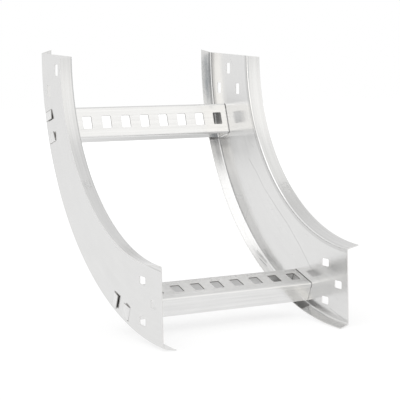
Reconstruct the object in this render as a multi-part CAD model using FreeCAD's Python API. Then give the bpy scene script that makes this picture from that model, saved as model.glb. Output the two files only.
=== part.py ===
# Inside riser bend for a ladder type cable tray, in galvanised sheet steel.
# Two curved side rails of Z section stand on either side of the cable way. Two channel
# rungs join them: each wall of a rung ends in a tab that goes through a slot in the rail
# and is folded over on its outer face.
#
# Frame, in millimetres: X runs across the tray, from the left rail to the right one. The
# lower end of the bend is the plane y = 0, with the tray coming from -Y. The upper end
# faces +Z. The origin is at mid width on the lower end, on the level of the rails' convex
# edge. The bend's centre lies above it, on the side that the rungs' slotted faces look to.
import FreeCAD, Part
import math
import os

# Tray size
clear_width = 300.0        # between the inner faces of the two webs
rail_height = 110.0        # from the concave edge of a web to its convex edge
concave_radius = 275.0     # of the concave edge
bend_angle = 90.0          # through which the tray turns, in degrees

# Side rails
rail_thickness = 1.5
rail_fold_radius = 2.5     # inside radius of the folds
concave_flange = 22.0      # points away from the cable way, web thickness included
convex_flange = 18.0       # points into the ladder, web thickness included
flange_lean = 10.0         # degrees that the flanges stand open beyond square
concave_setback = 5.0      # by which the concave flange's free edge stops short of the end
convex_overrun = 4.5       # by which the convex flange's free edge passes the end

# Slots for the coupler bolts, three at each end of each rail
bolt_slot_length = 17.0    # along the rail
bolt_slot_width = 11.0
bolt_slot_corner = 1.3     # leg of each corner's flat, in place of the punch's small radius
first_slot_inset = 25.0    # from the rail's end to the single slot at mid height
second_slot_inset = 57.0   # from the rail's end to the pair of slots
slot_pair_spacing = 56.0   # between the pair, across the rail

# Rungs
rung_thickness = 1.5
rung_width = 49.0          # across the slotted face
rung_depth = 29.0          # from the slotted face to the open back
rung_fold_radius = 2.0     # inside radius of the channel's folds
rung_edge_gap = 7.0        # from the open back to the convex edge of the rails
rung_end_gap = 0.8         # between the end of a rung and the web
lower_rung_inset = 19.0    # degrees from the lower end
upper_rung_inset = 17.5    # degrees from the upper end

# Windows in the rung's face, for cable clips and ties
window_length = 15.0       # along the rung
window_width = 19.0
window_corner = 1.5        # leg of each corner's flat
window_pitch = 33.0
window_margin = 5.0        # least metal between the last window and the rung's end

# Tabs at the rung's ends
tab_width = 20.0
tab_setback = 8.0          # from the slotted face to the tab's edge
tab_length = 14.5          # from the outer face of the rung's wall to the tab's free end
tab_fold_radius = 1.0
tab_fold = 85.0            # degrees that the tab is folded, short of square by its spring
tab_side_gap = 0.7         # play of the tab in its slot, beyond the rung's wall
tab_inner_gap = 0.5        # play at the edge nearer the slotted face
tab_outer_gap = 1.5        # play at the edge nearer the open back

# Places that follow from the sizes
bend_centre = FreeCAD.Vector(0, 0, concave_radius + rail_height)
along_x = FreeCAD.Vector(1, 0, 0)
web_inner = clear_width / 2
web_outer = web_inner + rail_thickness
rung_half_length = web_inner - rung_end_gap
face_level = rung_edge_gap + rung_depth
wall_outer = rung_width / 2
wall_inner = wall_outer - rung_thickness
tab_top = face_level - tab_setback
tab_bottom = tab_top - tab_width


def direction(degrees):
    """Unit vector in the drawing plane, turned counter-clockwise from +u."""
    return (math.cos(math.radians(degrees)), math.sin(math.radians(degrees)))


def step(point, heading, length):
    """The point reached from a point by going a length along a heading."""
    return (point[0] + heading[0] * length, point[1] + heading[1] * length)


def folded_section(start, heading, legs, folds, thickness, inside_radius, place):
    """Face of a folded sheet's section, drawn along the middle of its thickness.

    The legs run between the sharp corners where the middle lines would meet, and the folds
    are the turns between them, in degrees. place turns a drawing point into a 3-D vector.
    """
    middle_radius = inside_radius + thickness / 2
    corner = start
    angle = heading
    sides = {+1: [], -1: []}
    pen = {side: step(start, direction(heading + 90 * side), thickness / 2) for side in sides}
    first = dict(pen)
    for leg, fold in zip(legs, folds + [None]):
        corner = step(corner, direction(angle), leg)
        if fold is None:
            turn_length = 0.0
        else:
            turn_length = middle_radius * math.tan(math.radians(abs(fold)) / 2)
        leg_end = step(corner, direction(angle), -turn_length)
        for side in sides:
            end = step(leg_end, direction(angle + 90 * side), thickness / 2)
            sides[side].append(Part.LineSegment(place(pen[side]), place(end)).toShape())
            pen[side] = end
        if fold is None:
            break
        inner_side = 1 if fold > 0 else -1
        centre = step(leg_end, direction(angle + 90 * inner_side), middle_radius)
        for side in sides:
            radius = middle_radius - side * inner_side * thickness / 2
            middle = step(centre, direction(angle + fold / 2 - 90 * inner_side), radius)
            end = step(centre, direction(angle + fold - 90 * inner_side), radius)
            sides[side].append(Part.Arc(place(pen[side]), place(middle), place(end)).toShape())
            pen[side] = end
        angle = angle + fold
    far_end = Part.LineSegment(place(pen[+1]), place(pen[-1])).toShape()
    near_end = Part.LineSegment(place(first[-1]), place(first[+1])).toShape()
    outline = Part.Wire(Part.__sortEdges__(sides[+1] + [far_end] + sides[-1] + [near_end]))
    return Part.Face(outline)


def window(normal, centre, length, width, corner, depth):
    """Prism that punches an opening through sheet, centred on a point, its corners blunted.

    The length lies along Y and the width along Z when the normal is X. When the normal is
    Z, the length lies along X and the width along Y.
    """
    half_length = length / 2
    half_width = width / 2
    block = Part.makeBox(length, width, depth, FreeCAD.Vector(-half_length, -half_width, -depth / 2))
    upright = [edge for edge in block.Edges if abs(edge.tangentAt(edge.FirstParameter).z) > 0.9]
    block = block.makeChamfer(corner, upright)
    if normal == "X":
        block.rotate(FreeCAD.Vector(), FreeCAD.Vector(1, 1, 1), 120)
    block.translate(centre)
    return block


def turned(shape, degrees):
    """A copy of a shape made at the lower end, carried round the bend."""
    copy = shape.copy()
    copy.rotate(bend_centre, along_x, degrees)
    return copy


def at_upper_end(shape):
    """The twin of a shape at the lower end, mirrored about the middle of the bend."""
    half = math.radians(bend_angle / 2)
    return shape.mirror(bend_centre, FreeCAD.Vector(0, math.cos(half), math.sin(half)))


def tab_slot(side):
    """Cutter for the slot that takes one tab, for a rung at the lower end of the right rail."""
    edges = sorted([side * (wall_inner - tab_fold_radius), side * (wall_outer + tab_side_gap)])
    bottom = tab_bottom - tab_outer_gap
    height = tab_top + tab_inner_gap - bottom
    corner = FreeCAD.Vector(web_inner - rail_thickness, edges[0], bottom)
    return Part.makeBox(3 * rail_thickness, edges[1] - edges[0], height, corner)


def rail_section():
    """Z section of the right rail at the lower end: convex flange, web, concave flange."""
    fold = 90 - flange_lean
    half_fold = math.tan(math.radians(fold) / 2)
    corner_drop = rail_thickness / 2 * half_fold
    web_leg = rail_height - 2 * corner_drop
    half_sheet = rail_thickness / 2

    def leg(flange):
        return (flange - half_sheet) / math.cos(math.radians(flange_lean))

    web_foot = (web_inner + half_sheet, corner_drop)
    start = step(web_foot, direction(180 + flange_lean), leg(convex_flange))
    return folded_section(
        start, flange_lean, [leg(convex_flange), web_leg, leg(concave_flange)],
        [fold, -fold], rail_thickness, rail_fold_radius,
        lambda point: FreeCAD.Vector(point[0], 0, point[1]))


def end_waste():
    """What is cut off the right rail's lower end, seen from above: square at the web and
    slanting over both flanges, whose free edges moved as the rail was bent."""
    spare = 10.0
    reach_in = convex_flange + spare
    reach_out = concave_flange + spare
    overrun = convex_overrun * reach_in / (convex_flange - rail_thickness)
    setback = concave_setback * (reach_out - rail_thickness) / (concave_flange - rail_thickness)
    far = -convex_overrun - 4 * spare
    outline = [(-reach_in, -overrun), (0, 0), (rail_thickness, 0), (reach_out, setback),
               (reach_out, far), (-reach_in, far)]
    foot = -rail_height
    points = [FreeCAD.Vector(web_inner + x, y, foot) for x, y in outline]
    face = Part.Face(Part.makePolygon(points + points[:1]))
    return face.extrude(FreeCAD.Vector(0, 0, 3 * rail_height))


def right_rail():
    """The right side rail: the section carried round the bend, trimmed and punched."""
    spare_turn = math.degrees(2 * convex_overrun / concave_radius)
    start = turned(rail_section(), -spare_turn)
    rail = start.revolve(bend_centre, along_x, bend_angle + 2 * spare_turn)
    cutters = [end_waste()]
    mid_height = rail_height / 2
    for inset, level in ((first_slot_inset, mid_height),
                         (second_slot_inset, mid_height - slot_pair_spacing / 2),
                         (second_slot_inset, mid_height + slot_pair_spacing / 2)):
        centre = FreeCAD.Vector(web_inner + rail_thickness / 2, inset, level)
        cutters.append(window("X", centre, bolt_slot_length, bolt_slot_width,
                              bolt_slot_corner, 3 * rail_thickness))
    cutters = cutters + [at_upper_end(cutter) for cutter in cutters]
    for angle in (lower_rung_inset, bend_angle - upper_rung_inset):
        for side in (+1, -1):
            cutters.append(turned(tab_slot(side), angle))
    return rail.cut(cutters)


def tab(side):
    """Folded tab at the right end of a rung at the lower end, on one of its walls."""
    fold = -side * tab_fold
    turn = math.radians(tab_fold)
    middle_radius = tab_fold_radius + rung_thickness / 2
    fold_start = web_outer - tab_fold_radius * math.sin(turn)
    corner_run = middle_radius * math.tan(turn / 2)
    middle = side * (wall_outer - rung_thickness / 2)
    first_leg = fold_start + corner_run - rung_half_length
    second_leg = (tab_length - rung_thickness / 2) / math.sin(turn)
    face = folded_section(
        (rung_half_length, middle), 0.0, [first_leg, second_leg], [fold],
        rung_thickness, tab_fold_radius,
        lambda point: FreeCAD.Vector(point[0], point[1], tab_bottom))
    return face.extrude(FreeCAD.Vector(0, 0, tab_width))


def rung():
    """A rung as it would lie at the lower end: slotted face up, open back down."""
    half_sheet = rung_thickness / 2
    wall = rung_depth - half_sheet
    channel = folded_section(
        (-wall_outer + half_sheet, rung_edge_gap), 90.0,
        [wall, rung_width - rung_thickness, wall], [-90.0, -90.0],
        rung_thickness, rung_fold_radius,
        lambda point: FreeCAD.Vector(-rung_half_length, point[0], point[1]))
    body = channel.extrude(FreeCAD.Vector(2 * rung_half_length, 0, 0))
    tabs = [tab(+1), tab(-1)]
    tabs = tabs + [piece.mirror(FreeCAD.Vector(), along_x) for piece in tabs]
    body = body.fuse(tabs).removeSplitter()
    usable = 2 * (rung_half_length - window_margin) - window_length
    count = int(usable / window_pitch) + 1
    first = -(count - 1) * window_pitch / 2
    cutters = []
    for index in range(count):
        centre = FreeCAD.Vector(first + index * window_pitch, 0, face_level - half_sheet)
        cutters.append(window("Z", centre, window_length, window_width, window_corner,
                              3 * rung_thickness))
    return body.cut(cutters)


os.makedirs("parts", exist_ok=True)
rail = right_rail()
plain_rung = rung()
pieces = {
    "side_rail_right": rail,
    "side_rail_left": rail.mirror(FreeCAD.Vector(), along_x),
    "rung_lower": turned(plain_rung, lower_rung_inset),
    "rung_upper": turned(plain_rung, bend_angle - upper_rung_inset),
}
for name, shape in pieces.items():
    solid = shape.Solids[0]
    solid.exportStep("parts/" + name + ".step")
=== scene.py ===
"""Looks of an inside riser bend for a ladder type cable tray, in galvanised sheet steel.

Two mirrored side rails and two slotted rungs, each one folded sheet. Metres, in the part's
own frame: X across the tray, the lower end on y = 0, Z up. A place on the bend is given by
its angle from the lower end and its radius from the bend's centre, which is the X axis
raised by the convex radius.
"""
import math

import bmesh
import bpy
import numpy as np
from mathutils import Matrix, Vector
from mathutils.geometry import delaunay_2d_cdt


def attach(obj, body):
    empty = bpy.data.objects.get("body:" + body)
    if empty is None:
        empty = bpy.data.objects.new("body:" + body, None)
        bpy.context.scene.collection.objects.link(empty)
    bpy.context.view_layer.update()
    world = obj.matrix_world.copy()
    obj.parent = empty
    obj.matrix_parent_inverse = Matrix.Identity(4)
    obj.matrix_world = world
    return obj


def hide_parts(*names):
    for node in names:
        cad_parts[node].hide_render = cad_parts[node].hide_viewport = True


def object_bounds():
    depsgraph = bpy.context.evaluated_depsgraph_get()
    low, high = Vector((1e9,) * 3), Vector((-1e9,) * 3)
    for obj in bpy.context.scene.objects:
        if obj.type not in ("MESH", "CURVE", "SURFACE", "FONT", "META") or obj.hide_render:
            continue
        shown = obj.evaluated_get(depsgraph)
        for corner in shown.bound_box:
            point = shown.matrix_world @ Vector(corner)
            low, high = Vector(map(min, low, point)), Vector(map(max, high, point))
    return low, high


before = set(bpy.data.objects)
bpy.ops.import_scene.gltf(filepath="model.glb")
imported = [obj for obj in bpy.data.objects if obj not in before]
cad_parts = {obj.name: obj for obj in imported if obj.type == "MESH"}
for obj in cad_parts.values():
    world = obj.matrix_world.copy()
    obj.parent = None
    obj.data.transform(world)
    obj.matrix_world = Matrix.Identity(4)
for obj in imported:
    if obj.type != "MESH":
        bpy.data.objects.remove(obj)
cad_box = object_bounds()


# Side rails: two mirrored Z sections of galvanised sheet. Each web is cut as a flat arc and
# punched, then both of its edges are folded open beyond square, the flange on the concave
# edge out and the one on the convex edge in.
clear_width = 0.300
rail_height = 0.110
concave_radius = 0.275
convex_radius = concave_radius + rail_height
sheet = 0.0015
inner_face = clear_width / 2
outer_face = inner_face + sheet
web_middle = inner_face + sheet / 2

fold_radius = 0.0025
fold_turn = math.radians(80)
concave_flange = 0.022
convex_flange = 0.018
web_setback = 0.0045  # of the web's concave edge from the end plane
concave_setback = 0.0020  # of that flange's free edge, from the web's edge
convex_overrun = 0.0045  # of the other flange's free edge, past the end plane

bolt_slot_length = 0.017
bolt_slot_width = 0.011
bolt_slot_corner = 0.002
bolt_slot_places = ((0.025, 0.055), (0.057, 0.027), (0.057, 0.083))

rung_face_radius = 0.349
rung_angles = {"rung_lower": math.radians(19.0), "rung_upper": math.radians(72.5)}
tab_slot_inner = 0.0220
tab_slot_outer = 0.0252
tab_slot_start = 0.0075
tab_slot_end = 0.0295

steps_round_bend = 144
steps_in_fold = 8
steps_in_corner = 6
steps_across_flange = 4
cut_edge_round = 0.00018
cut_edge_steps = 2
sharp_angle = math.radians(50)
merge_distance = 0.00002
fill_tolerance = 0.0000001


def carried_round(across, height):
    """Grid of points made by carrying each point of a section round the bend.

    The radius is the convex radius less the height. The angle runs evenly between two ends
    that are slanted over the web and the flanges, as the blank was cut: the arcsine of the
    end's offset over the radius.
    """
    radius = convex_radius - height
    past_inner = np.clip((inner_face - across) / (convex_flange - sheet), 0, None)
    past_outer = np.clip((across - outer_face) / (concave_flange - sheet), 0, None)
    up_web = np.clip(height / rail_height, 0, 1)
    offset = web_setback * up_web + concave_setback * past_outer - convex_overrun * past_inner
    start = np.arcsin(offset / radius)
    share = np.linspace(0, 1, steps_round_bend + 1)
    angle = start[:, None] + (math.pi / 2 - 2 * start[:, None]) * share
    y = radius[:, None] * np.sin(angle)
    z = convex_radius - radius[:, None] * np.cos(angle)
    x = np.broadcast_to(across[:, None], y.shape)
    return np.stack([x, y, z], axis=-1)


def flange_section(flange, turn):
    """Offsets out and up from a web's edge over one fold and its flange.

    The fold is a round of the sheet's middle radius, then the flange runs on straight.
    """
    middle_radius = fold_radius + sheet / 2
    angle = np.linspace(0, turn, steps_in_fold + 1)
    out = middle_radius * (1 - np.cos(angle))
    up = middle_radius * np.sin(angle)
    corner = middle_radius * math.tan(turn / 2)
    straight = (flange - sheet / 2) / math.sin(turn) - corner
    run = np.linspace(0, straight, steps_across_flange + 1)[1:]
    return (np.append(out, out[-1] + run * math.sin(turn)),
            np.append(up, up[-1] + run * math.cos(turn)))


def grid_faces(rows, columns, first=0):
    """Four-sided faces of a grid whose points are numbered row by row from a first number."""
    corner = first + np.arange(rows * columns).reshape(rows, columns)
    quads = [corner[:-1, :-1], corner[:-1, 1:], corner[1:, 1:], corner[1:, :-1]]
    return np.stack(quads, axis=-1).reshape(-1, 4).tolist()


def rounded_rectangle(length, width, corner):
    """Loop of points about the origin: a quarter round at each corner, joined by straights."""
    quarter = np.linspace(0, math.pi / 2, steps_in_corner + 1)
    turn = np.concatenate([quarter + side * math.pi / 2 for side in range(4)])
    sign_u = np.repeat([1, -1, -1, 1], steps_in_corner + 1)
    sign_v = np.repeat([1, 1, -1, -1], steps_in_corner + 1)
    return np.stack([sign_u * (length / 2 - corner) + corner * np.cos(turn),
                     sign_v * (width / 2 - corner) + corner * np.sin(turn)], axis=-1)


def flat_panel(outline, holes):
    """Points and triangles of a flat sheet between an outline and its holes.

    A constrained Delaunay fill, less the triangles whose corners all lie on one hole. Each
    hole bulges outwards all round, so those are the ones inside it.
    """
    loops = [outline] + holes
    sizes = [len(loop) for loop in loops]
    points = np.concatenate(loops)
    last = np.cumsum(sizes)
    following = np.arange(1, len(points) + 1)
    following[last - 1] = last - sizes
    edges = np.stack([np.arange(len(points)), following], axis=-1)
    corners = [Vector(point) for point in points]
    filled = delaunay_2d_cdt(corners, edges.tolist(), [], 1, fill_tolerance)
    triangles = np.array(filled[2])
    loop_of = np.repeat(np.arange(len(loops)), sizes)[triangles]
    in_hole = (loop_of.min(axis=1) == loop_of.max(axis=1)) & (loop_of[:, 0] > 0)
    return np.array(filled[0]), triangles[~in_hole].tolist()


def folded_sheet(name, parts):
    """One piece of folded sheet from the parts of its middle surface.

    Parts that meet are merged, then the surface gets the sheet's thickness, half to each
    side, and the cut edges are rounded as a punch and a guillotine leave them.
    """
    points = np.concatenate([part[0] for part in parts])
    before = np.cumsum([0] + [len(part[0]) for part in parts])
    faces = [[corner + first for corner in face]
             for part, first in zip(parts, before) for face in part[1]]
    mesh = bpy.data.meshes.new(name)
    mesh.from_pydata(points.tolist(), [], faces)
    form = bmesh.new()
    form.from_mesh(mesh)
    bmesh.ops.remove_doubles(form, verts=form.verts, dist=merge_distance)
    bmesh.ops.recalc_face_normals(form, faces=form.faces)
    form.to_mesh(mesh)
    form.free()
    mesh.shade_smooth()
    piece = bpy.data.objects.new(name, mesh)
    bpy.context.scene.collection.objects.link(piece)
    wall = piece.modifiers.new("sheet", "SOLIDIFY")
    wall.thickness = sheet
    wall.offset = 0
    wall.use_even_offset = True
    wall.material_offset_rim = 1
    rim = piece.modifiers.new("cut_edges", "BEVEL")
    rim.width = cut_edge_round
    rim.segments = cut_edge_steps
    rim.limit_method = "ANGLE"
    rim.angle_limit = sharp_angle
    rim.material = 1
    piece.modifiers.new("flat_faces", "WEIGHTED_NORMAL")
    return piece


def on_bend(along, depth, angle):
    """Place in (y, z) of a point in a rung's own frame, at an angle round the bend.

    It lies out from the bend's centre by the face's radius and the depth, and then along
    the tangent there.
    """
    radius = rung_face_radius + depth
    return np.stack([radius * math.sin(angle) + along * math.cos(angle),
                     convex_radius - radius * math.cos(angle) + along * math.sin(angle)], axis=-1)


def web_holes():
    """Loops of a web's openings: three bolt slots at each end, two tab slots at each rung."""
    slot = rounded_rectangle(bolt_slot_length, bolt_slot_width, bolt_slot_corner)
    lower = [slot + place for place in bolt_slot_places]
    upper = [convex_radius - loop[:, ::-1] for loop in lower]
    along = np.array([tab_slot_inner, tab_slot_outer, tab_slot_outer, tab_slot_inner])
    depth = np.array([tab_slot_start, tab_slot_start, tab_slot_end, tab_slot_end])
    tabs = [on_bend(side * along, depth, angle)
            for angle in rung_angles.values() for side in (1, -1)]
    return lower + upper + tabs


def rail_parts():
    """Middle surface of the right rail: both flanges with their folds, and the punched web."""
    fold_drop = (sheet / 2 + fold_radius + sheet / 2) * math.tan(fold_turn / 2)
    parts = []
    for out, flange, foot in ((1, concave_flange, rail_height - fold_drop),
                              (-1, convex_flange, fold_drop)):
        across, up = flange_section(flange, fold_turn)
        grid = carried_round(web_middle + out * across, foot + out * up)
        parts.append((grid.reshape(-1, 3), grid_faces(*grid.shape[:2])))
    edges = carried_round(np.full(2, web_middle), np.array([fold_drop, rail_height - fold_drop]))
    outline = np.concatenate([edges[0, :, 1:], edges[1, ::-1, 1:]])
    flat, faces = flat_panel(outline, web_holes())
    web = np.insert(flat, 0, web_middle, axis=1)
    return parts + [(web, faces)]


right_parts = rail_parts()
left_parts = [(points * (-1, 1, 1), faces) for points, faces in right_parts]
rails = {"side_rail_right": folded_sheet("rail_right", right_parts),
         "side_rail_left": folded_sheet("rail_left", left_parts)}


def joined(tree, socket, value):
    """Give a socket its value, which is another socket, a number or a colour."""
    if isinstance(value, bpy.types.NodeSocket):
        tree.links.new(value, socket)
    else:
        socket.default_value = value


def worked(tree, operation, *values):
    """Result of one sum on sockets or numbers."""
    step = tree.nodes.new("ShaderNodeMath")
    step.operation = operation
    for socket, value in zip(step.inputs, values):
        joined(tree, socket, value)
    return step.outputs[0]


def aimed(tree, operation, *values):
    """Result of one sum on places or directions, as a vector or a number."""
    step = tree.nodes.new("ShaderNodeVectorMath")
    step.operation = operation
    for socket, value in zip(step.inputs, values):
        joined(tree, socket, value)
    gives_number = operation in ("LENGTH", "DISTANCE", "DOT_PRODUCT")
    return step.outputs["Value" if gives_number else "Vector"]


def hypotenuse(tree, first, second):
    """Square root of the sum of two squares."""
    squares = [worked(tree, "MULTIPLY", side, side) for side in (first, second)]
    return worked(tree, "SQRT", worked(tree, "ADD", *squares))


def all_of(tree, *masks):
    """Product of masks, so that it is one only where all of them are."""
    result = masks[0]
    for mask in masks[1:]:
        result = worked(tree, "MULTIPLY", result, mask)
    return result


def eased(tree, value, low, high, at_low, at_high):
    """Smooth step of a value from one result to another between a low and a high point."""
    ease = tree.nodes.new("ShaderNodeMapRange")
    ease.interpolation_type = "SMOOTHSTEP"
    for name, number in (("Value", value), ("From Min", low), ("From Max", high),
                         ("To Min", at_low), ("To Max", at_high)):
        joined(tree, ease.inputs[name], number)
    return ease.outputs["Result"]


def noise(tree, where, scale, detail=2.0):
    """Smooth random value between 0 and 1, with the given number of waves in a metre."""
    texture = tree.nodes.new("ShaderNodeTexNoise")
    texture.inputs["Scale"].default_value = scale
    texture.inputs["Detail"].default_value = detail
    joined(tree, texture.inputs["Vector"], where)
    return texture.outputs[0]


def stretched(tree, along, across, along_scale, across_scale):
    """Place on a pattern that is drawn out along a sheet."""
    place = tree.nodes.new("ShaderNodeCombineXYZ")
    joined(tree, place.inputs["X"], worked(tree, "MULTIPLY", along, along_scale))
    joined(tree, place.inputs["Y"], worked(tree, "MULTIPLY", across, across_scale))
    return place.outputs[0]


def new_group(name, inputs, outputs):
    """Empty node group with named sockets, and its own input and output nodes."""
    tree = bpy.data.node_groups.new(name, "ShaderNodeTree")
    for way, sockets in (("INPUT", inputs), ("OUTPUT", outputs)):
        for socket, kind in sockets:
            tree.interface.new_socket(socket, in_out=way, socket_type="NodeSocket" + kind)
    given = tree.nodes.new("NodeGroupInput").outputs
    return tree, given, tree.nodes.new("NodeGroupOutput").inputs


zinc_fine_lines = (9, 900)  # waves in a metre, along the sheet and across it
zinc_broad_lines = (4, 210)
zinc_cloud_waves = 32
zinc_grain_waves = 900
zinc_swell_waves = 11
zinc_line_tone = 0.22
zinc_cloud_tone = 0.07
zinc_grain_tone = 0.05
zinc_line_dullness = 0.18
zinc_cloud_dullness = 1.6
zinc_line_relief = 0.00002
zinc_swell_relief = 0.0009


def rolled_zinc_group():
    """Cold rolled sheet with its zinc: lines along it, soft clouds and a fine grain.

    The tone is one plus a share of each pattern less its middle. The dullness is added to
    the roughness, and the relief is a height in metres.
    """
    tree, given, result = new_group(
        "rolled_zinc",
        (("Along", "Float"), ("Across", "Float"), ("Place", "Vector"), ("Lines", "Float")),
        (("Tone", "Float"), ("Dullness", "Float"), ("Relief", "Float")))
    way = (given["Along"], given["Across"])
    fine = noise(tree, stretched(tree, *way, *zinc_fine_lines), 1.0)
    broad = noise(tree, stretched(tree, *way, *zinc_broad_lines), 1.0, 1.0)
    cloud = noise(tree, given["Place"], zinc_cloud_waves, 3.0)
    grain = noise(tree, given["Place"], zinc_grain_waves, 1.0)
    swell = noise(tree, given["Place"], zinc_swell_waves, 1.0)
    half_fine = worked(tree, "MULTIPLY", worked(tree, "SUBTRACT", fine, 0.5), 0.5)
    lines = worked(tree, "ADD", half_fine, worked(tree, "SUBTRACT", broad, 0.5))
    lines = worked(tree, "MULTIPLY", lines, given["Lines"])
    clouds = worked(tree, "MULTIPLY", worked(tree, "SUBTRACT", cloud, 0.5), zinc_cloud_tone)
    specks = worked(tree, "MULTIPLY", worked(tree, "SUBTRACT", grain, 0.5), zinc_grain_tone)
    joined(tree, result["Tone"],
           worked(tree, "ADD", worked(tree, "MULTIPLY_ADD", lines, zinc_line_tone, 1.0),
                  worked(tree, "ADD", clouds, specks)))
    dull_clouds = worked(tree, "MULTIPLY", clouds, zinc_cloud_dullness)
    joined(tree, result["Dullness"],
           worked(tree, "MULTIPLY_ADD", lines, zinc_line_dullness, dull_clouds))
    swelling = worked(tree, "MULTIPLY", swell, zinc_swell_relief)
    joined(tree, result["Relief"],
           worked(tree, "MULTIPLY_ADD", lines, zinc_line_relief, swelling))
    return tree


mark_wander_waves = 14
mark_wander = 0.008
mark_cells = (40.0, 9.0, 26.0)  # in a metre, along each axis
mark_core = 0.003
mark_edge = 0.010
mark_patch_waves = 24
mark_patch_start = 0.61
mark_patch_full = 0.69
mark_patch_strength = 0.6


def handling_marks_group():
    """Hairline scratches from stacking and handling, as a value from 0 to 1.

    They are the borders of long cells on a wandering pattern, kept only in patches.
    """
    tree, given, result = new_group("handling_marks", (("Place", "Vector"),), (("Mark", "Float"),))
    wander = tree.nodes.new("ShaderNodeTexNoise")
    wander.inputs["Scale"].default_value = mark_wander_waves
    joined(tree, wander.inputs["Vector"], given["Place"])
    bent = aimed(tree, "MULTIPLY_ADD", wander.outputs["Color"], (mark_wander,) * 3, given["Place"])
    cells = tree.nodes.new("ShaderNodeTexVoronoi")
    cells.feature = "DISTANCE_TO_EDGE"
    cells.inputs["Scale"].default_value = 1.0
    joined(tree, cells.inputs["Vector"], aimed(tree, "MULTIPLY", bent, mark_cells))
    hairline = eased(tree, cells.outputs["Distance"], mark_core, mark_edge, 1.0, 0.0)
    patches = eased(tree, noise(tree, given["Place"], mark_patch_waves),
                    mark_patch_start, mark_patch_full, 0.0, mark_patch_strength)
    joined(tree, result["Mark"], worked(tree, "MULTIPLY", hairline, patches))
    return tree


def scratch_group():
    """Distance in metres from a place to the straight line between two others.

    The line's nearest point is the share of its run that the place has gone along it, from
    nought to one: the dot product of the two over the run's own square.
    """
    tree, given, result = new_group(
        "scratch", (("Place", "Vector"), ("Start", "Vector"), ("End", "Vector")),
        (("Distance", "Float"),))
    run = aimed(tree, "SUBTRACT", given["End"], given["Start"])
    gone = aimed(tree, "SUBTRACT", given["Place"], given["Start"])
    share = worked(tree, "DIVIDE", aimed(tree, "DOT_PRODUCT", gone, run),
                   aimed(tree, "DOT_PRODUCT", run, run))
    share.node.use_clamp = True
    foot = tree.nodes.new("ShaderNodeVectorMath")
    foot.operation = "SCALE"
    joined(tree, foot.inputs[0], run)
    joined(tree, foot.inputs["Scale"], share)
    joined(tree, result["Distance"], aimed(tree, "DISTANCE", gone, foot.outputs[0]))
    return tree


def used(tree, group, **given):
    """Outputs of a node group placed in a tree, with its inputs joined by name."""
    node = tree.nodes.new("ShaderNodeGroup")
    node.node_tree = group
    for name, value in given.items():
        joined(tree, node.inputs[name], value)
    return node.outputs


def changed(tree, tone, mask, factor):
    """Tone times the factor where a mask is one, and unchanged where it is nought."""
    share = worked(tree, "MULTIPLY_ADD", mask, factor - 1.0, 1.0)
    return worked(tree, "MULTIPLY", tone, share)


def finished(tree, colour, tone, roughness, dullness, relief):
    """Set a metal's colour, roughness and relief on its Principled shader.

    The colour is scaled by the tone, and the dullness is added to the roughness.
    """
    shader = tree.nodes["Principled BSDF"]
    shader.inputs["Metallic"].default_value = 1.0
    shade = tree.nodes.new("ShaderNodeVectorMath")
    shade.operation = "SCALE"
    shade.inputs[0].default_value = colour
    joined(tree, shade.inputs["Scale"], tone)
    joined(tree, shader.inputs["Base Color"], shade.outputs[0])
    joined(tree, shader.inputs["Roughness"], worked(tree, "ADD", dullness, roughness))
    bump = tree.nodes.new("ShaderNodeBump")
    bump.inputs["Distance"].default_value = 1.0
    joined(tree, bump.inputs["Height"], relief)
    joined(tree, shader.inputs["Normal"], bump.outputs["Normal"])


rail_colour = (0.748, 0.746, 0.741)
rail_roughness = 0.20
rail_edge_colour = (0.79, 0.785, 0.775)
web_lines = 0.28  # strength of the rolling lines on the web, which was rubbed flat
web_lines_fade = (0.0008, 0.0035)  # distances from the web's middle where they gain strength
web_lean = 0.055  # slope by which the web's finish leans, as the real web is a little bowed

scratch_tone = 0.62
scratch_break_waves = 160
scratch_break = (0.3, 0.6)
scratch_break_strength = 0.45
scratch_soft_edge = (0.35, 0.65)  # shares of the width where it fades
scratch_width = 0.0007
long_scratch = ((58.3, 0.3144), (52.4, 0.3062), (46.8, 0.3048), (39.4, 0.3005), (31.6, 0.3007),
                (23.1, 0.3118), (17.0, 0.3277), (11.5, 0.3398))
short_scratches = (((inner_face, 6.9, 0.3705), (inner_face, 1.1, 0.3790)),
                   ((inner_face, 60.8, 0.2948), (inner_face, 59.7, 0.2926)))
flange_scratch_width = 0.0018
flange_scratches = (((0.1420, 36.6, 0.3851), (0.1455, 32.6, 0.3845)),
                    ((0.1440, 36.9, 0.3848), (0.1468, 33.0, 0.3843)),
                    ((0.1400, 34.4, 0.3856), (0.1428, 31.6, 0.3850)))
rail_mark_tone = 0.90
rail_mark_dullness = 0.15

rub_marks = (((-0.163, 47.5, 0.2735), 0.013), ((0.163, 41.5, 0.2735), 0.017))
rub_core = 0.25  # share of a mark's reach that is rubbed most
rub_speckle_waves = 420
rub_speckle = (0.42, 0.62)
rub_tone = 0.84
rub_dullness = 0.08
# Painted shade: a streaky darker patch on the right rail's convex flange near the upper rung, standing
# in for the rung's shade and the dark it mirrors.
flange_shade_place = (0.139, 69.0, 0.384)
flange_shade_reach = 0.060
flange_shade_core = 0.4
flange_shade_waves = (9, 320)
flange_shade_streaks = (0.3, 0.6)
flange_shade_streak_strength = 0.75
flange_shade_stop = inner_face - 0.002
flange_shade_fade = (0.134, 0.146)  # places across the tray where it is half and whole
flange_shade_tone = 0.66
# Painted shade: a dark line along the right rail's convex fold.
shade_line_rise = (0.1435, 0.1465)
shade_line_stop = inner_face - 0.0010
shade_line_start = (1.22, 1.30)
shade_line_height = 0.008
shade_line_tone = 0.66
# Painted shade: the concave fold's outer side is darkened to tone down its reflection.
fold_shade_rise = (0.0028, 0.0034)
fold_shade_fall = (0.0041, 0.0050)
fold_shade_tone = 0.86

rolled_zinc = rolled_zinc_group()
handling_marks = handling_marks_group()
scratch = scratch_group()


def on_rail(across, angle, radius):
    """Place on a rail, from its place across the tray, its angle in degrees and its radius."""
    turn = math.radians(angle)
    return (across, radius * math.sin(turn), convex_radius - radius * math.cos(turn))


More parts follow.
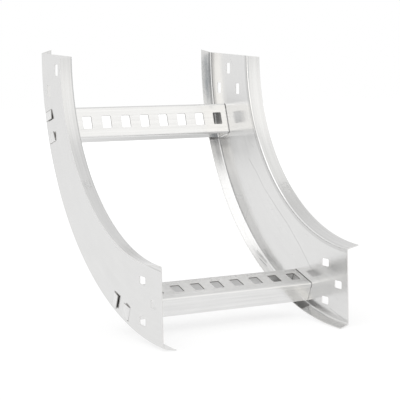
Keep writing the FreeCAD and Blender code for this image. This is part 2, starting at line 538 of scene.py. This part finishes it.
def scratched_mask(tree, place):
    """One along the scratches and nought away from them, with faint stretches.

    A scratch is where the distance to the nearest of its straight runs is under half its
    width, with a soft edge.
    """
    bends = [on_rail(inner_face, *bend) for bend in long_scratch]
    web_runs = list(zip(bends[:-1], bends[1:]))
    web_runs += [[on_rail(*end) for end in ends] for ends in short_scratches]
    flange_runs = [[on_rail(*end) for end in ends] for ends in flange_scratches]
    scratched = 0.0
    for runs, width in ((web_runs, scratch_width), (flange_runs, flange_scratch_width)):
        nearest = 1.0
        for start, end in runs:
            distance = used(tree, scratch, Place=place, Start=start, End=end)["Distance"]
            nearest = worked(tree, "MINIMUM", distance, nearest)
        line = eased(tree, nearest, *[share * width for share in scratch_soft_edge], 1.0, 0.0)
        scratched = worked(tree, "MAXIMUM", line, scratched)
    broken = noise(tree, place, scratch_break_waves)
    return worked(tree, "MULTIPLY", scratched,
                  eased(tree, broken, *scratch_break, scratch_break_strength, 1.0))


def flange_shade_mask(tree, place, across, angle):
    """Streaky painted shade on the right rail's convex flange near the upper rung, fading toward its
    free edge.
    """
    distance = aimed(tree, "DISTANCE", place, on_rail(*flange_shade_place))
    near = eased(tree, distance, flange_shade_reach * flange_shade_core, flange_shade_reach, 1.0, 0.0)
    on_flange = worked(tree, "LESS_THAN", worked(tree, "ABSOLUTE", across), flange_shade_stop)
    toward_fold = eased(tree, across, *flange_shade_fade, 0.5, 1.0)
    streaks = noise(tree, stretched(tree, angle, across, *flange_shade_waves), 1.0)
    return all_of(tree, near, on_flange, toward_fold,
                  eased(tree, streaks, *flange_shade_streaks, flange_shade_streak_strength, 1.0))


def shade_line_mask(tree, across, angle, radius):
    """Painted shade line beside the right rail's convex fold, from the upper rung to the end."""
    return all_of(tree, eased(tree, across, *shade_line_rise, 0.0, 1.0),
                  worked(tree, "LESS_THAN", across, shade_line_stop),
                  eased(tree, angle, *shade_line_start, 0.0, 1.0),
                  worked(tree, "GREATER_THAN", radius, convex_radius - shade_line_height))


def fold_shade_mask(tree, from_web, radius):
    """Painted shade on the outer side of the concave fold, toning down its bright reflection.

    It is where the distance to the fold's axis is about the fold's outer radius.
    """
    from_axis = hypotenuse(tree, worked(tree, "SUBTRACT", from_web, fold_radius + sheet / 2),
                           worked(tree, "SUBTRACT", radius, concave_radius + sheet + fold_radius))
    return worked(tree, "MULTIPLY", eased(tree, from_axis, *fold_shade_rise, 0.0, 1.0),
                  eased(tree, from_axis, *fold_shade_fall, 1.0, 0.0))


def rail_finish():
    """Zinc of a rail, with its lines round the bend and the marks of use.

    The object's place is turned into an angle round the bend and a radius from its centre.
    The relief slopes along the radius, to opposite sides on the web's two faces.
    """
    material = bpy.data.materials.new("galvanised_rail")
    material.use_nodes = True
    tree = material.node_tree
    place = tree.nodes.new("ShaderNodeTexCoord").outputs["Object"]
    split = tree.nodes.new("ShaderNodeSeparateXYZ")
    joined(tree, split.inputs[0], place)
    across = split.outputs["X"]
    below_centre = worked(tree, "SUBTRACT", convex_radius, split.outputs["Z"])
    radius = hypotenuse(tree, split.outputs["Y"], below_centre)
    angle = worked(tree, "ARCTAN2", split.outputs["Y"], below_centre)
    from_web = worked(tree, "SUBTRACT", worked(tree, "ABSOLUTE", across), web_middle)
    lines = eased(tree, worked(tree, "ABSOLUTE", from_web), *web_lines_fade, web_lines, 1.0)
    zinc = used(tree, rolled_zinc, Place=place, Lines=lines,
                Along=worked(tree, "MULTIPLY", angle, (concave_radius + convex_radius) / 2),
                Across=worked(tree, "ADD", radius, across))
    marks = used(tree, handling_marks, Place=place)["Mark"]
    tone = changed(tree, zinc["Tone"], scratched_mask(tree, place), scratch_tone)
    tone = changed(tree, tone, marks, rail_mark_tone)
    dullness = worked(tree, "MULTIPLY_ADD", marks, rail_mark_dullness, zinc["Dullness"])

    speckle = eased(tree, noise(tree, place, rub_speckle_waves, 3.0), *rub_speckle, 0.0, 1.0)
    for where, reach in rub_marks:
        distance = aimed(tree, "DISTANCE", place, on_rail(*where))
        near = eased(tree, distance, reach * rub_core, reach, 1.0, 0.0)
        tone = changed(tree, tone, worked(tree, "MULTIPLY", near, speckle), rub_tone)
        dullness = worked(tree, "MULTIPLY_ADD", near, rub_dullness, dullness)
    # painted shade on the convex flange near the upper rung
    tone = changed(tree, tone, flange_shade_mask(tree, place, across, angle), flange_shade_tone)
    # painted shade line along the convex fold
    tone = changed(tree, tone, shade_line_mask(tree, across, angle, radius), shade_line_tone)
    # painted shade on the concave fold
    tone = changed(tree, tone, fold_shade_mask(tree, from_web, radius), fold_shade_tone)

    outward = worked(tree, "MULTIPLY", worked(tree, "SIGN", from_web), radius)
    relief = worked(tree, "MULTIPLY_ADD", outward, web_lean, zinc["Relief"])
    finished(tree, rail_colour, tone, rail_roughness, dullness, relief)
    return material


edge_roughness = 0.32
torn_waves = 1300
torn_floor_tone = 0.84
torn_tone = 0.3
torn_dullness = 0.2
torn_relief = 0.00003


def cut_edge(name, colour):
    """Edge of a sheet as the shear left it: a torn grain across the sheet's thickness."""
    material = bpy.data.materials.new(name)
    material.use_nodes = True
    tree = material.node_tree
    torn = noise(tree, tree.nodes.new("ShaderNodeTexCoord").outputs["Object"], torn_waves, 3.0)
    tone = worked(tree, "MULTIPLY_ADD", torn, torn_tone, torn_floor_tone)
    finished(tree, colour, tone, edge_roughness, worked(tree, "MULTIPLY", torn, torn_dullness),
             worked(tree, "MULTIPLY", torn, torn_relief))
    return material


rail_zinc = rail_finish()
rail_edge = cut_edge("rail_edge", rail_edge_colour)
for node, rail in rails.items():
    rail.data.materials.append(rail_zinc)
    rail.data.materials.append(rail_edge)
    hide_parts(node)
    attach(rail, "root")


# Rungs: two alike channels of the same sheet, with nine windows in the face that the
# cables lie on and an open back. Each wall ends in a tab that goes through a slot of the
# rail's web and is folded over on its outside, short of square by its own spring.
rung_half = inner_face - 0.0008
rung_width = 0.049
rung_depth = 0.029
rung_fold_radius = 0.002
window_length = 0.015
window_width = 0.019
window_corner = 0.0018
window_pitch = 0.033
window_count = 9
tab_setback = 0.008
tab_width = 0.020
tab_length = 0.0145
tab_fold_radius = 0.001
tab_turn = math.radians(85)


def strip(across, along, depth):
    """Grid of points and its faces, with each measure spread to the others' shape."""
    grid = np.stack(np.broadcast_arrays(across, along, depth), axis=-1)
    return grid.reshape(-1, 3), grid_faces(*grid.shape[:2])


def rung_parts():
    """Middle surface of a rung in its own frame: x across the tray, along the bend, depth.

    A flat face with windows, two quarter folds, two flat walls whose outlines carry the
    tabs' necks, and four folded tabs.
    """
    middle_radius = rung_fold_radius + sheet / 2
    wall_middle = rung_width / 2 - sheet / 2
    face_edge = wall_middle - middle_radius
    fold_end = sheet / 2 + middle_radius
    ends = np.array([-rung_half, rung_half])

    outline = np.array([(-1, -1), (1, -1), (1, 1), (-1, 1)]) * (rung_half, face_edge)
    window = rounded_rectangle(window_length, window_width, window_corner)
    centres = (np.arange(window_count) - (window_count - 1) / 2) * window_pitch
    flat, faces = flat_panel(outline, [window + (centre, 0) for centre in centres])
    parts = [(np.insert(flat, 2, sheet / 2, axis=1), faces)]

    tab_radius = tab_fold_radius + sheet / 2
    neck_end = outer_face - tab_fold_radius * math.sin(tab_turn)
    tab_lines = np.array([tab_setback, tab_setback + tab_width])
    end_line = np.array([(rung_half, fold_end), (rung_half, tab_lines[0]), (neck_end, tab_lines[0]),
                         (neck_end, tab_lines[1]), (rung_half, tab_lines[1]), (rung_half, rung_depth)])
    other_end = end_line[::-1] * (-1, 1)
    wall = np.concatenate([other_end[-1:], end_line, other_end[:-1]])
    wall_flat, wall_faces = flat_panel(wall, [])
    turn = np.linspace(0, math.pi / 2, steps_in_fold + 1)[:, None]
    fold_along = face_edge + middle_radius * np.sin(turn)
    fold_depth = sheet / 2 + middle_radius * (1 - np.cos(turn))
    tab_angle = np.linspace(0, tab_turn, steps_in_fold + 1)
    leg = (tab_length - sheet / 2) / math.sin(tab_turn) - tab_radius * math.tan(tab_turn / 2)
    tab_out = tab_radius * np.sin(tab_angle)
    tab_in = tab_radius * (1 - np.cos(tab_angle))
    tab_out = np.append(tab_out, tab_out[-1] + leg * math.cos(tab_turn))[:, None]
    tab_in = np.append(tab_in, tab_in[-1] + leg * math.sin(tab_turn))[:, None]
    for side in (1, -1):
        parts.append(strip(ends, side * fold_along, fold_depth))
        parts.append((np.insert(wall_flat, 1, side * wall_middle, axis=1), wall_faces))
        for end in (1, -1):
            parts.append(strip(end * (neck_end + tab_out), side * (wall_middle - tab_in), tab_lines))
    return parts


def seated(parts, angle):
    """Parts of a rung turned from its own frame to its place on the bend."""
    placed = []
    for points, faces in parts:
        y_and_z = on_bend(points[:, 1], points[:, 2], angle)
        placed.append((np.insert(y_and_z, 0, points[:, 0], axis=1), faces))
    return placed


rung_colour = (0.785, 0.783, 0.778)
rung_roughness = 0.20
# Painted shade: the rung's cut edges are dark, so that the windows and ends show shaded outlines.
rung_edge_shade_colour = (0.34, 0.33, 0.32)
rung_mark_tone = 0.92
# Painted shade: the inside of the channel is darkened, and its roughness raised.
inside_shade_tone = 0.77
inside_dullness = 0.18
slit_tone = 2.2  # by which the slit edges at the open back are lifted out of the painted shade that darkens the rung's other cut edges
slit_radius = rung_face_radius + rung_depth - 0.001
skin = 0.0001  # by which the inside reaches into the sheet


def rung_finish(name, angle):
    """Zinc of a rung at an angle, with its lines along the rung and a rougher inside, darkened as
    painted shade.

    The object's place is turned to the rung's own frame: across the tray, along the bend,
    and out from the bend's centre, where it is inside between the walls and past the face.
    """
    material = bpy.data.materials.new(name)
    material.use_nodes = True
    tree = material.node_tree
    turned = tree.nodes.new("ShaderNodeMapping")
    turned.vector_type = "TEXTURE"
    turned.inputs["Location"].default_value = (0, 0, convex_radius)
    turned.inputs["Rotation"].default_value = (angle, 0, 0)
    joined(tree, turned.inputs["Vector"], tree.nodes.new("ShaderNodeTexCoord").outputs["Object"])
    own = tree.nodes.new("ShaderNodeSeparateXYZ")
    joined(tree, own.inputs[0], turned.outputs[0])
    depth = worked(tree, "SUBTRACT", worked(tree, "MULTIPLY", own.outputs["Z"], -1.0),
                   rung_face_radius)
    zinc = used(tree, rolled_zinc, Place=turned.outputs[0], Lines=1.0, Along=own.outputs["X"],
                Across=worked(tree, "ADD", own.outputs["Y"], depth))
    marks = used(tree, handling_marks, Place=turned.outputs[0])["Mark"]
    off_middle = worked(tree, "ABSOLUTE", own.outputs["Y"])
    off_centre = worked(tree, "ABSOLUTE", own.outputs["X"])
    inside = all_of(tree, worked(tree, "LESS_THAN", off_middle, rung_width / 2 - sheet + skin),
                    worked(tree, "GREATER_THAN", depth, sheet - skin),
                    worked(tree, "LESS_THAN", off_centre, inner_face))
    # painted shade inside the channel
    tone = changed(tree, zinc["Tone"], inside, inside_shade_tone)
    tone = changed(tree, tone, marks, rung_mark_tone)
    dullness = worked(tree, "MULTIPLY_ADD", inside, inside_dullness, zinc["Dullness"])
    finished(tree, rung_colour, tone, rung_roughness, dullness, zinc["Relief"])
    return material


def brighten_slit_edges(material):
    """Lighten a rung's two long edges at its open back, out of the painted shade on its cut edges.

    They are where the radius from the bend's centre passes the slit radius, between the webs.
    """
    tree = material.node_tree
    place = tree.nodes["Texture Coordinate"].outputs["Object"]
    split = tree.nodes.new("ShaderNodeSeparateXYZ")
    joined(tree, split.inputs[0], place)
    radius = hypotenuse(tree, split.outputs["Y"],
                        worked(tree, "SUBTRACT", split.outputs["Z"], convex_radius))
    off_centre = worked(tree, "ABSOLUTE", split.outputs["X"])
    slit = all_of(tree, worked(tree, "GREATER_THAN", radius, slit_radius),
                  worked(tree, "LESS_THAN", off_centre, inner_face))
    shade = tree.nodes["Principled BSDF"].inputs["Base Color"].links[0].from_node.inputs["Scale"]
    joined(tree, shade, changed(tree, shade.links[0].from_socket, slit, slit_tone))


# cut edges in painted shade, except the slit edges at the open back
rung_edge = cut_edge("rung_edge", rung_edge_shade_colour)
brighten_slit_edges(rung_edge)
flat_rung = rung_parts()
for node, angle in rung_angles.items():
    rung = folded_sheet(node + "_sheet", seated(flat_rung, angle))
    rung.data.materials.append(rung_finish("galvanised_" + node, angle))
    rung.data.materials.append(rung_edge)
    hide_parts(node)
    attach(rung, "root")


# Studio: a plain pale floor and a white surround, lit like a product table. A big softbox
# hangs up in front on the left, a low one stands at the left, and the metal also mirrors
# dimmer and darker parts of the room and of the floor. The camera sees only white.
floor_half = 6.0
floor_gap = 0.0005
floor_colour = (0.80, 0.80, 0.80, 1)
floor_roughness = 0.9
glow_to_camera = 0.6
glow_brightness = 1.18
glow_to_metal = 0.85
glow_in_metal = 1.05
shadow_reach = 0.9
shadow_end = 2.4
shaded_place = (0.42, 0.78, 0.0)
shaded_reach = 0.55
shaded_tone = 0.60
far_shade = (-1.25, 3.35, 0.0)
far_shade_along = (-0.443, 0.896, 0.0)
far_shade_across = (0.896, 0.443, 0.0)
far_shade_length = 1.6
far_shade_width = 0.5
far_shade_core = 0.4
far_shade_tone = 0.41

floor_height = cad_box[0][2] - floor_gap
corners = [(x * floor_half, y * floor_half, floor_height)
           for x, y in ((-1, -1), (1, -1), (1, 1), (-1, 1))]
floor_mesh = bpy.data.meshes.new("floor")
floor_mesh.from_pydata(corners, [], [(0, 1, 2, 3)])
floor = bpy.data.objects.new("floor", floor_mesh)
bpy.context.scene.collection.objects.link(floor)


def floor_finish():
    """Floor that catches a soft shadow close by and glows by itself.

    Its own glow is mixed with the plain surface: partly for the camera and for the metal,
    and wholly far out, past the shadow. What the metal mirrors has two darker patches: a
    round one near the bend, and a long one far behind it. That one is where the root of
    the squares of the distances along and across it, each over its size, is below one.
    """
    material = bpy.data.materials.new("pale_floor")
    material.use_nodes = True
    tree = material.node_tree
    surface = tree.nodes["Principled BSDF"]
    surface.inputs["Base Color"].default_value = floor_colour
    surface.inputs["Roughness"].default_value = floor_roughness
    glow = tree.nodes.new("ShaderNodeEmission")
    place = tree.nodes.new("ShaderNodeTexCoord").outputs["Object"]
    path = tree.nodes.new("ShaderNodeLightPath").outputs
    mirrored = path["Is Glossy Ray"]
    straight = worked(tree, "MAXIMUM", path["Is Camera Ray"], path["Is Transmission Ray"])

    near_shade = eased(tree, aimed(tree, "DISTANCE", place, shaded_place), 0.0, shaded_reach,
                       shaded_tone * glow_in_metal, glow_in_metal)
    from_shade = aimed(tree, "SUBTRACT", place, far_shade)
    along = worked(tree, "DIVIDE", aimed(tree, "DOT_PRODUCT", from_shade, far_shade_along),
                   far_shade_length)
    across = worked(tree, "DIVIDE", aimed(tree, "DOT_PRODUCT", from_shade, far_shade_across),
                    far_shade_width)
    from_middle = hypotenuse(tree, along, across)
    dark_patch = eased(tree, from_middle, far_shade_core, 1.0, far_shade_tone, 1.0)
    seen_in_metal = worked(tree, "MULTIPLY", near_shade, dark_patch)
    seen_straight = worked(tree, "MULTIPLY", straight, glow_brightness)
    joined(tree, glow.inputs["Strength"], worked(tree, "MAXIMUM", seen_straight, seen_in_metal))

    near = worked(tree, "MAXIMUM", worked(tree, "MULTIPLY", straight, glow_to_camera),
                  worked(tree, "MULTIPLY", mirrored, glow_to_metal))
    past_shadow = eased(tree, aimed(tree, "LENGTH", place), shadow_reach, shadow_end, 0.0, 1.0)
    far = worked(tree, "MULTIPLY", worked(tree, "MAXIMUM", straight, mirrored), past_shadow)
    blend = tree.nodes.new("ShaderNodeMixShader")
    joined(tree, blend.inputs["Fac"], worked(tree, "MAXIMUM", near, far))
    joined(tree, blend.inputs[1], surface.outputs["BSDF"])
    joined(tree, blend.inputs[2], glow.outputs["Emission"])
    joined(tree, tree.nodes["Material Output"].inputs["Surface"], blend.outputs["Shader"])
    return material


floor.data.materials.append(floor_finish())

right_side_colour = (0.85, 0.85, 0.85, 1)
left_side_colour = (1.03, 1.03, 1.03, 1)
left_side_end = (-0.35, 0.1)  # how far a ray points to the right where that light fades
backdrop_colour = (1.0, 1.0, 1.0, 1)
backdrop_side = (0.3, 0.6)  # how far a ray points to the back where the backdrop sets in
backdrop_top = (0.04, 0.2)  # and how far up where it fades
# Parts of the room: azimuth from the front and elevation, how far from there each is still
# whole and where it ends, all in degrees, and its colour. A later one covers those before.
room_parts = ((27, 24, 10, 36, (1.16, 1.155, 1.14, 1)),  # white wall in front on the right
              (40, 64, 4, 24, (1.00, 1.00, 0.99, 1)),  # ceiling above that wall
              (106, 70, 3, 18, (0.78, 0.78, 0.775, 1)),  # dim ceiling on the right
              (-128, 47, 12, 40, (1.21, 1.21, 1.21, 1)),  # light behind on the left
              (-46, 12, 13, 32, (1.66, 1.64, 1.60, 1)),  # low softbox
              (-106, 0, 8, 22, (0.52, 0.53, 0.55, 1)),  # unlit side of the room
              (-18, 9, 3, 13, (0.36, 0.40, 0.44, 1)))  # dark gap round the camera


def mixed(tree, factor, first, second):
    """Colour mixed by a factor from a first to a second, each a socket or a plain colour."""
    mix = tree.nodes.new("ShaderNodeMix")
    mix.data_type = "RGBA"
    joined(tree, mix.inputs["Factor"], factor)
    joined(tree, mix.inputs[6], first)
    joined(tree, mix.inputs[7], second)
    return mix.outputs[2]


def toward(tree, rays, azimuth, elevation, near, far):
    """Value that falls from 1 to 0 as a ray turns away from a direction.

    It is the smooth step of the cosine between the two, from the far to the near angle.
    The azimuth runs from the front, which is -Y, to the right.
    """
    turn, lift = math.radians(azimuth), math.radians(elevation)
    aim = (math.sin(turn) * math.cos(lift), -math.cos(turn) * math.cos(lift), math.sin(lift))
    return eased(tree, aimed(tree, "DOT_PRODUCT", rays, aim), math.cos(math.radians(far)),
                 math.cos(math.radians(near)), 0.0, 1.0)


world = bpy.data.worlds.new("studio")
world.use_nodes = True
tree = world.node_tree
rays = tree.nodes.new("ShaderNodeTexCoord").outputs["Generated"]
split = tree.nodes.new("ShaderNodeSeparateXYZ")
joined(tree, split.inputs[0], rays)
leftward = eased(tree, split.outputs["X"], *left_side_end, 1.0, 0.0)
lit = mixed(tree, leftward, right_side_colour, left_side_colour)
for azimuth, elevation, whole, end, colour in room_parts:
    lit = mixed(tree, toward(tree, rays, azimuth, elevation, whole, end), lit, colour)
behind = worked(tree, "MULTIPLY", eased(tree, split.outputs["Y"], *backdrop_side, 0.0, 1.0),
                eased(tree, split.outputs["Z"], *backdrop_top, 1.0, 0.0))
lit = mixed(tree, behind, lit, backdrop_colour)
to_camera = tree.nodes.new("ShaderNodeLightPath").outputs["Is Camera Ray"]
lit = mixed(tree, to_camera, lit, backdrop_colour)
joined(tree, tree.nodes["Background"].inputs["Color"], lit)
tree.nodes["Background"].inputs["Strength"].default_value = 1.0
bpy.context.scene.world = world

softbox_lean_forward = math.radians(17.5)
softbox_lean_left = math.radians(17.0)
softbox_distance = 2.0
softbox_width = 0.95
softbox_length = 1.3
softbox_brightness = 0.85
softbox_data = bpy.data.lights.new("softbox", "AREA")
softbox_data.shape = "RECTANGLE"
softbox_data.size = softbox_width
softbox_data.size_y = softbox_length
softbox_data.energy = softbox_brightness * math.pi * softbox_width * softbox_length
softbox = bpy.data.objects.new("softbox", softbox_data)
softbox.rotation_euler = (softbox_lean_forward, -softbox_lean_left, 0)
bend_middle = (Vector(cad_box[0]) + Vector(cad_box[1])) / 2
softbox.location = bend_middle + softbox.rotation_euler.to_matrix() @ Vector((0, 0, softbox_distance))
bpy.context.scene.collection.objects.link(softbox)


# Camera: two metres from the bend, a little above it and to the left, with a long lens.
aim = Vector((0.0115, 0.1821, 0.1699))
camera_azimuth = math.radians(30.26)
camera_elevation = math.radians(6.71)
camera_distance = 2.0014
lens = 121.83
sensor = 36.0

looks = Vector((math.sin(camera_azimuth) * math.cos(camera_elevation),
                math.cos(camera_azimuth) * math.cos(camera_elevation),
                -math.sin(camera_elevation)))
camera_data = bpy.data.cameras.new("camera")
camera_data.lens = lens
camera_data.sensor_width = sensor
camera = bpy.data.objects.new("camera", camera_data)
camera.location = aim - looks * camera_distance
camera.rotation_mode = "QUATERNION"
camera.rotation_quaternion = looks.to_track_quat("-Z", "Y")
bpy.context.scene.collection.objects.link(camera)
bpy.context.scene.camera = camera
bpy.context.scene.view_settings.view_transform = "Standard"
